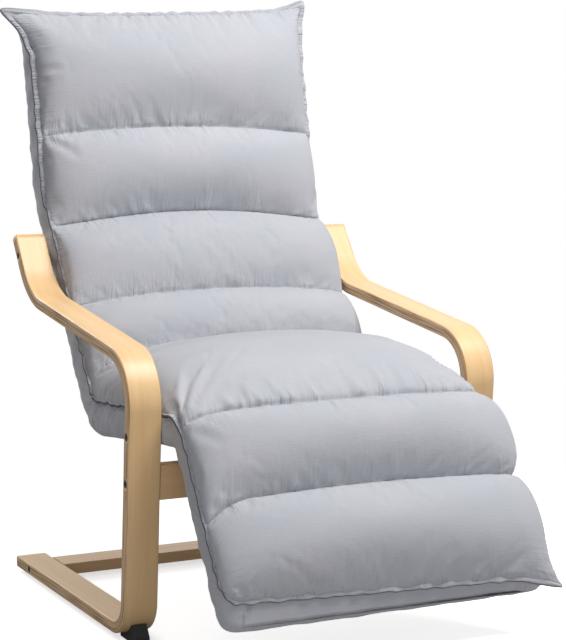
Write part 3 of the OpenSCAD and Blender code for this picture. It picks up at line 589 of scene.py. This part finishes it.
def sleeve_creases(u, h, rear):
    """Creases in the boxing strip, with folds that fan out where the cushion bends."""
    crease = waver(u + h * 0.6, 31, small_crease[0]) * small_crease[1]
    crease = crease + waver(u - h, 37, long_crease[0]) * long_crease[1]
    for bend_at, from_h, way in ((hip_at, seam_h + fan_off, -1), (knee_at, -rear - fan_off, 1)):
        fan = np.arctan2(u - bend_at, way * (h - from_h) + 1e-6)
        fold = sum(np.exp(-((fan - a) / fan_fold_width) ** 2) for a in fan_folds)
        crease = crease - fan_height * fold * math.exp(-((u - bend_at) / fan_reach) ** 2)
    return crease


def sleeve(name, u_rows, foot_end, head_end):
    """A stretch of the lower layer: its boxing strip goes round the edge and its rear face is
    pulled tight over the tubes; where it ends, its corners are rounded."""
    middle_h = 0.0105  # the end faces close at this height
    rings, us, xs, edge_tight = [], [], [], []
    closing = (0.0, 0.2, 0.4, 0.6, 0.8)  # the end faces run on to a line across the cushion
    plan = [(u_rows[0], k) for k in closing] if foot_end else []
    plan += [(u, 1.0) for u in u_rows]
    plan += [(u_rows[-1], k) for k in closing[::-1]] if head_end else []
    for u, opened in plan:
        w, rear = half_width(u), np.interp(u, list(rear_faces), list(rear_faces.values()))
        inside = min(u - foot_at if foot_end else 1, head_at - u if head_end else 1)
        tuck = round_plan - math.sqrt(max(0, round_plan ** 2 - max(0, round_plan - inside) ** 2))
        flat = round_edge - math.sqrt(max(0, round_edge ** 2 - max(0, round_edge - inside) ** 2))
        w -= tuck
        low = -(rear - flat)
        half = [(w - turned_in, seam_h), (w - 0.002, seam_h - 0.001)]
        half += [(w + strip_bow * math.sin(math.pi * t),
                  seam_h - 0.001 + (low + round_edge - seam_h) * t)
                 for t in np.linspace(0, 1, 12)[1:]]
        half += [(w - round_edge * (1 - math.cos(a)), low + round_edge * (1 - math.sin(a)))
                 for a in np.radians((18, 36, 54, 72, 90))]
        half = np.array(half)
        full = np.concatenate([half, half[::-1] * (-1, 1)])
        inner = w - turned_in
        ring = np.concatenate([evenly(full, 170), [
            (x, seam_h - 0.001) for x in np.linspace(-inner, inner, 24)[1:-1]]])
        x, h = ring[:, 0], ring[:, 1]
        wall = np.clip(1 - (w - np.abs(x)) / turned_in, 0, 1)
        edge_tight.append(wall * np.exp(np.minimum(h - seam_h, 0) / 0.010))
        x = x + np.sign(x) * wall * (sleeve_creases(u, h, rear) + 0.0008)
        belly = np.clip(1 - np.abs(x) / belly_half, 0, 1) * (h < 0)
        h = h - belly ** 0.5 * belly_sag * (1 + waver(x + u, 41, belly_wave))
        for at in bushes:
            near = np.exp(-(((u - at) ** 2 + h ** 2) / bush_reach ** 2) ** 2)
            x = x + np.sign(x) * wall * bush_swell * near
        h = middle_h + (h - middle_h) * opened
        pucker = np.clip(1 - inside / pucker_reach, 0, 1)
        pucker = pucker * (waver(x + h, 43, pucker_wave) - 1) * pucker_height
        uu, xx = drawn_out(u + (pucker if foot_end else -pucker), x, h)
        rings.append(in_chair(uu, xx, h))
        us.append(np.full(len(x), u) + h)
        xs.append(x)
    return mesh_piece(name, rings, cloth, {"thread_u": us, "thread_x": xs,
                                           "edge_tight": edge_tight})


def rows(u0, u1, step, foot_end=False, head_end=False):
    """Distances from u0 to u1, closer together where an end is rounded off."""
    fine_rows = round_plan * (1 - np.cos(np.linspace(0, math.pi / 2, 14)))
    start, end = u0 + (round_plan if foot_end else 0), u1 - (round_plan if head_end else 0)
    out = np.arange(start, end + step / 2, step)
    if foot_end:
        out = np.concatenate([u0 + fine_rows[:-1], out])
    if head_end:
        out = np.concatenate([out, (u1 - fine_rows[:-1])[::-1]])
    else:
        out[-1] = u1
    return out


sleeve_step = 0.006
lower_sleeve = sleeve("leg_and_seat_sleeve", rows(foot_at, hip_at, sleeve_step, foot_end=True),
                      True, False)
upper_sleeve = sleeve("back_sleeve", rows(hip_at, head_at, sleeve_step, head_end=True),
                      False, True)


def bend_with(piece):
    """Bakes a sewn piece's placement into its mesh; it does not bend it across a hinge."""
    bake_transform(piece)


def at_knee(piece):
    bend_with(piece)


def at_upper(piece):
    bend_with(piece)


at_knee(lower_sleeve)
at_upper(upper_sleeve)
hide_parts("leg_rest_cover", "seat_cover", "knee_fold")
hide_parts("upper_back_cover", "upper_fold")


# Puffed layer: seven channels of the grey cloth, stuffed with fibre and sewn down across the
# cushion, so that the cloth gathers in short wrinkles at every seam.
channel_seams = {
    # name: (distance from the foot, depth of the seam, bow in the middle, at the ends)
    "foot": (0.0, 0.031, 0.0, 0.0),
    "calf": (0.190, 0.048, 0.004, -0.006),
    "knee": (0.320, 0.060, 0.006, 0.002),
    "hip": (0.6848, 0.108, 0.010, 0.004),
    "lumbar": (0.875, 0.048, 0.019, 0.001),
    "waist": (1.1042, 0.060, 0.003, -0.026),
    "shoulder": (1.234, 0.048, 0.012, -0.004),
    "head": (1.456, 0.031, 0.0, 0.0),
}
near_droop = {"calf": 0.026, "knee": 0.010}  # how far these seams run down at the camera's side
droop_from, droop_reach = 0.190, 0.075
panels = [
    # lower seam, upper seam, plane angles on the way, crown heights at both ends, side bulge
    ("foot", "calf", (147, 147, 147), (0.080, 0.090), 0.012),
    ("calf", "knee", (147, 146, 133), (0.086, 0.092), 0.012),
    ("knee", "hip", (133, 101, 87.5, 87, 96), (0.106, 0.126), 0.006),
    ("hip", "lumbar", (96, 130, 145.1), (0.112, 0.082), 0.005),
    ("lumbar", "waist", (145.1, 160, 189), (0.080, 0.100), 0.006),
    ("waist", "shoulder", (189, 176, 168.4), (0.096, 0.084), -0.001),
    ("shoulder", "head", (168.4, 168.4, 168.4), (0.084, 0.074), -0.003),
]
seat_plane_shares = (0, 0.16, 0.32, 0.7, 1)
quilt_step, ring_count, underside_count = 0.0046, 136, 28
puff_skew, seat_skew, puff_power = 1.3, 0.9, 0.50  # the shape of a puff's crown in side view
head_blunt, head_power = 2.4, 0.72  # and of its upper half at the head
# how square the ends of a puff are: across, more where it is shallow, and in height
far_end, near_end = (0.44, 0.05, 0.46), (0.62, 0.10, 0.62)
# gathers at a channel's upper and lower seam, and long folds at the foot: count, reach, height
upper_gathers, lower_gathers = (44, 0.060, 0.0040), (40, 0.042, 0.0045)
foot_folds = (13, 0.130, 0.0042)
seat_gathers = 1.9  # those at the seat's front are longer and higher by this factor
leg_bulge, leg_bulge_reach = 0.010, 0.05  # the leg rest's far side swells by this much more
head_narrower, edge_over = 0.005, 0.001  # the puffs are narrower at the head, wider than the seam
creased_by, puckered_by = 0.018, 0.014  # how far from a seam the cloth is creased


def gathers(away, x, seed, count, reach, height):
    """Short folds that run from a seam into the puff, distance away from it."""
    r = np.random.default_rng(seed)
    out = np.zeros(np.broadcast(away, x).shape)
    full_from, gathered = 0.008, 0.5  # they are full this far from the seam, over this width
    height = height * np.clip(away / full_from, 0.25, 1)
    for at in np.linspace(-gathered / 2, gathered / 2, count):
        at += r.uniform(-0.3, 0.3) * gathered / count
        wide = r.uniform(0.28, 0.5) * gathered / count
        long = reach * r.uniform(0.3, 1.0) ** 1.3
        tall = r.uniform(0.2, 1.0) * height
        lean = r.uniform(-0.25, 0.25) + 2 * at
        fade = np.clip(1 - away / long, 0, 1) ** 1.3
        out += tall * fade * np.exp(-((x - at - lean * away) / (wide * (1 + away / long))) ** 2)
    return out


pinches = (
    # where the cloth is nipped in at the edge by the camera's side: from (u, x) to (u, x), depth
    ((1.352, -0.262), (1.347, -0.214), 0.0040), ((1.226, -0.258), (1.196, -0.212), 0.0050),
    ((1.246, -0.258), (1.262, -0.232), 0.0035), ((1.090, -0.258), (1.072, -0.220), 0.0040),
    ((0.865, -0.256), (0.846, -0.224), 0.0035), ((0.345, -0.256), (0.400, -0.215), 0.0030),
    ((0.338, -0.240), (0.385, -0.180), 0.0025), ((0.300, -0.258), (0.270, -0.225), 0.0040),
    ((0.205, -0.256), (0.245, -0.222), 0.0045), ((0.212, -0.235), (0.250, -0.195), 0.0035),
    ((0.030, -0.250), (0.075, -0.215), 0.0022), ((0.028, -0.225), (0.080, -0.190), 0.0018))
pinch_width, pinch_lip_at, pinch_lip = 0.0060, 0.011, 0.45


def nipped(u, x):
    """How deep the pinches press the puffs in at a point, and raise the cloth beside them."""
    out = np.zeros(np.broadcast(u, x).shape)
    for start, end, deep in pinches:
        a, way = np.array(start), np.array(end) - start
        t = np.clip(((u - a[0]) * way[0] + (x - a[1]) * way[1]) / (way @ way), 0, 1)
        off = np.hypot(u - a[0] - t * way[0], x - a[1] - t * way[1])
        out += deep * (1 - t) ** 0.6 * (
            np.exp(-(off / pinch_width) ** 2)
            - pinch_lip * np.exp(-((off - pinch_lip_at) / pinch_width) ** 2))
    return out


def crown_line(below, above, crowns):
    """The top line of a channel in side view: distance, height, share of the way and of the
    full swell; and the run along it."""
    (u0, deep0), (u1, deep1) = channel_seams[below][:2], channel_seams[above][:2]
    t = np.linspace(0, 1, 800)
    skew = seat_skew if above == "hip" else puff_skew
    swell = np.clip(1 - (2 * t ** skew - 1) ** 2, 0, 1) ** puff_power
    if above == "head":
        blunt = np.clip(1 - np.abs(2 * t - 1) ** head_blunt, 0, 1) ** head_power
        swell = np.where(t > 0.5, blunt, swell)
    deep = deep0 + (deep1 - deep0) * t
    crown = deep + (crowns[0] + (crowns[1] - crowns[0]) * t - deep) * swell
    line = np.column_stack([u0 + (u1 - u0) * t, crown, t, swell])
    run = np.concatenate([[0], np.cumsum(np.linalg.norm(np.diff(line[:, :2], axis=0), axis=1))])
    return line, run


def across_puff(w, top, full):
    """Section across a puff, as a closed ring of x and height: its end by the camera's side is
    rounder, the other fuller."""
    theta = np.linspace(0, math.pi, 900)
    c, sn = np.cos(theta), np.sin(theta)
    wide_by = np.where(c > 0, far_end[0] + far_end[1] * (1 - full),
                       near_end[0] + near_end[1] * (1 - full))
    tall_by = np.where(c > 0, far_end[2], near_end[2])
    over = evenly(np.column_stack([np.sign(c) * np.abs(c) ** wide_by * w,
                                   seam_h + (top - seam_h) * np.abs(sn) ** tall_by]), ring_count)
    under = [(x, seam_h - 0.0005) for x in np.linspace(-w, w, underside_count + 2)[1:-1]]
    return np.concatenate([over, under]).T


def puffs(name, first, last, seed):
    """The quilted layer over a run of channels, as one closed skin, and the points on its
    seams that the thread holds."""
    all_rows, thread_u, thread_x, tight, edge_tight, held = [], [], [], [], [], []
    for j, (below, above, planes, crowns, bulge) in enumerate(panels[first:last]):
        mid0, end0 = channel_seams[below][2:]
        mid1, end1 = channel_seams[above][2:]
        line, run = crown_line(below, above, crowns)
        count = int(run[-1] / quilt_step) + 1
        at = np.linspace(0, run[-1], count)[(1 if j else 0):]
        for s in at:
            u, top, ti, full = (np.interp(s, run, line[:, k]) for k in range(4))
            if below == "knee":  # over the seat the plane turns in steps, elsewhere in one curve
                plane = math.radians(np.interp(ti, seat_plane_shares, planes))
            else:
                plane = math.radians(np.polyval(np.polyfit((0, 0.5, 1), planes, 2), ti))
            w = half_width(u) + edge_over - head_narrower * min(max((u - upper_at) / 0.1, 0), 1)
            x, h = across_puff(w, top, full)
            rise = np.clip((h - seam_h) / (top - seam_h), 0, 1)
            edge_tight.append((x / w) ** 8 * np.exp(-np.maximum(h - seam_h, 0) / puckered_by))
            far_bulge = bulge + leg_bulge * np.clip(
                (knee_at + spread_from - u) / leg_bulge_reach, 0, 1)
            swollen = np.where(x > 0, far_bulge, bulge * 0.3)
            x = x + np.sign(x) * np.abs(x / w) ** 6 * swollen * full * np.sin(math.pi * rise ** 0.8)
            d0, d1 = s, run[-1] - s
            strong = seat_gathers if above == "hip" else 1.0
            fold = gathers(d1, x, seed + 10 * j + 1, *upper_gathers)
            fold = fold + gathers(d0, x, seed + 10 * j, lower_gathers[0],
                                  lower_gathers[1] * strong, lower_gathers[2] * strong)
            if below == "foot":
                fold = fold + gathers(d0, x, seed + 7, *foot_folds)
            h = h + (fold - nipped(u, x)) * rise
            share = (x / w) ** 2
            droop = np.clip((-x - droop_from) / droop_reach, 0, 1) ** 2
            bow0 = mid0 + (end0 - mid0) * share - near_droop.get(below, 0) * droop
            bow1 = mid1 + (end1 - mid1) * share - near_droop.get(above, 0) * droop
            uu, xx = drawn_out(u + bow0 + (bow1 - bow0) * ti, x, h)
            all_rows.append(in_chair(uu, xx, h, plane))
            thread_u.append(np.full(len(x), u * 1.15))
            thread_x.append(x)
            tight.append(np.full(len(x), math.exp(-min(d0 / 1.3, d1) / creased_by)))
            edge = np.arange(len(x))
            seam_row = s in (at[0], at[-1]) and not (j and s == at[0])
            held.append(np.where(seam_row | (edge < 1) | (edge > ring_count - 2), 1.0, 0.0))
    piece = mesh_piece(name, all_rows, cloth, {"thread_u": thread_u, "thread_x": thread_x,
                                               "tight": tight, "edge_tight": edge_tight})
    return piece, np.concatenate(held)


def stuffed(pieces_and_held, frames=18, swell_limit=0.024):
    """Fills the sewn skins with soft pressure while the thread holds their seams, and keeps
    the shapes that they come to."""
    for piece, held in pieces_and_held:
        group = piece.vertex_groups.new(name="held")
        group.add(np.flatnonzero(held).tolist(), 1.0, "REPLACE")
        filling = piece.modifiers.new("filling", "CLOTH")
        filling.settings.quality = 5
        filling.settings.mass = 0.15
        filling.settings.tension_stiffness = 12
        filling.settings.compression_stiffness = 12
        filling.settings.shear_stiffness = 4
        filling.settings.bending_stiffness = 0.08
        filling.settings.air_damping = 2
        filling.settings.vertex_group_mass = "held"
        filling.settings.shrink_min = -0.006
        filling.settings.use_pressure = True
        filling.settings.uniform_pressure_force = 3.0
        filling.settings.effector_weights.gravity = 0
        filling.collision_settings.use_collision = False
        filling.point_cache.frame_end = frames
    for number in range(1, frames + 1):
        scene.frame_set(number)
    graph = bpy.context.evaluated_depsgraph_get()
    for piece, held in pieces_and_held:
        count = len(piece.data.vertices)
        before, after = np.empty(count * 3), np.empty(count * 3)
        piece.data.vertices.foreach_get("co", before)
        piece.evaluated_get(graph).data.vertices.foreach_get("co", after)
        move = (after - before).reshape(-1, 3)
        size = np.linalg.norm(move, axis=1)
        move *= (np.minimum(size, swell_limit) / np.maximum(size, 1e-9))[:, None]
        piece.data.vertices.foreach_set("co", (before.reshape(-1, 3) + move).ravel())
        piece.modifiers.remove(piece.modifiers["filling"])
        piece.vertex_groups.clear()
        piece.data.update()
    scene.frame_set(1)


lower_quilt, lower_held = puffs("leg_and_seat_quilt", 0, 3, 100)
upper_quilt, upper_held = puffs("back_quilt", 3, 7, 300)
stuffed([(lower_quilt, lower_held), (upper_quilt, upper_held)])
at_knee(lower_quilt)
at_upper(upper_quilt)
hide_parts("leg_rest_pad", "knee_pad", "seat_pad")
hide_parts("lower_back_pad", "upper_back_pad")


# Flange seam: the raw edges of both layers are turned in and sewn together round the cushion,
# which leaves two thin wavy lips with a groove between them.
# The dark strip between the lips is painted shade: it stands in for the shadow in the groove, not
# for thread.
groove_shade_finish = Finish("painted_groove_shade", (0.12, 0.125, 0.14), 0.9).speckled(
    600.0, 3.0, ((0.3, (0.09, 0.095, 0.11)), (0.7, (0.21, 0.215, 0.24))), None, 0.0006, 0.6)
lip_parts = (
    # part, height off the middle line, half width, half thickness, finish
    ("front_lip", seam_h + 0.0030, 0.0054, 0.0019, cloth),
    # a dark strip of painted shade in the groove between the lips
    ("painted_groove_shade", seam_h + 0.0002, 0.0058, 0.0015, groove_shade_finish),
    ("rear_lip", seam_h - 0.0028, 0.0048, 0.0019, cloth))
lip_swing, lip_push, lip_out = 0.0016, 0.0009, 0.0002
end_corner, end_points = 0.012, 98


def lips(name, way, seed):
    """Two lips side by side, and a dark strip of painted shade in the groove between them, along a
    way of (u, x) points of the cushion's edge."""
    way = np.array(way)
    run = np.concatenate([[0], np.cumsum(np.linalg.norm(np.diff(way, axis=0), axis=1))])
    out = np.gradient(way, axis=0)
    out /= np.linalg.norm(out, axis=1)[:, None]
    out = np.column_stack([-out[:, 1], out[:, 0]])
    swing = waver(run, seed, 0.045) * lip_swing
    push = waver(run, seed + 1, 0.028) * lip_push
    made = []
    for part, height, wide, thick, finish in lip_parts:
        rings, us, xs, at_side = [], [], [], []
        for i in range(len(way)):
            ring = []
            for a in np.linspace(0, 2 * math.pi, 13)[:-1]:
                o = lip_out + push[i] + wide * math.cos(a)
                ring.append((way[i, 0] + out[i, 0] * o, way[i, 1] + out[i, 1] * o,
                             height + swing[i] + thick * math.sin(a)))
            ring = np.array(ring)
            u, x = drawn_out(ring[:, 0], ring[:, 1], seam_h)
            rings.append(in_chair(u, x, ring[:, 2]))
            us.append(ring[:, 0] * 3)
            xs.append(ring[:, 1])
            at_side.append(np.clip((np.abs(ring[:, 1]) - 0.235) / 0.020, 0, 1))
        at_side = np.array(at_side)
        made.append(mesh_piece(f"{name}_{part}", rings, finish, {
            "thread_u": us, "thread_x": xs, "tight": 0.5 - 0.5 * at_side,
            "edge_tight": 0.5 * at_side}))
    return made


def edge_way(end_u, seam_u, sign):
    """The edge from one side of a seam round an end of the cushion to the other side."""
    inward = -1 if end_u > seam_u else 1
    half_w = float(half_width(end_u))
    way = [(u, float(half_width(u)) * sign)
           for u in np.arange(seam_u, end_u + inward * end_corner, -inward * 0.005)]
    for a in np.linspace(0, math.pi / 2, 9)[1:]:
        way.append((end_u + inward * end_corner * (1 - math.sin(a)),
                    sign * (half_w - end_corner * (1 - math.cos(a)))))
    reach = half_w - end_corner
    other_side = [(u, -x) for u, x in way][::-1]
    way += [(end_u, sign * x) for x in np.linspace(reach, -reach, end_points + 2)[1:-1]]
    return way + other_side


lower_lips = lips("leg_and_seat_flange", edge_way(0.0, hip_at, 1), 50)
upper_lips = lips("back_flange", edge_way(head_at, hip_at, -1), 60)
for lip in lower_lips:
    at_knee(lip)
for lip in upper_lips:
    at_upper(lip)
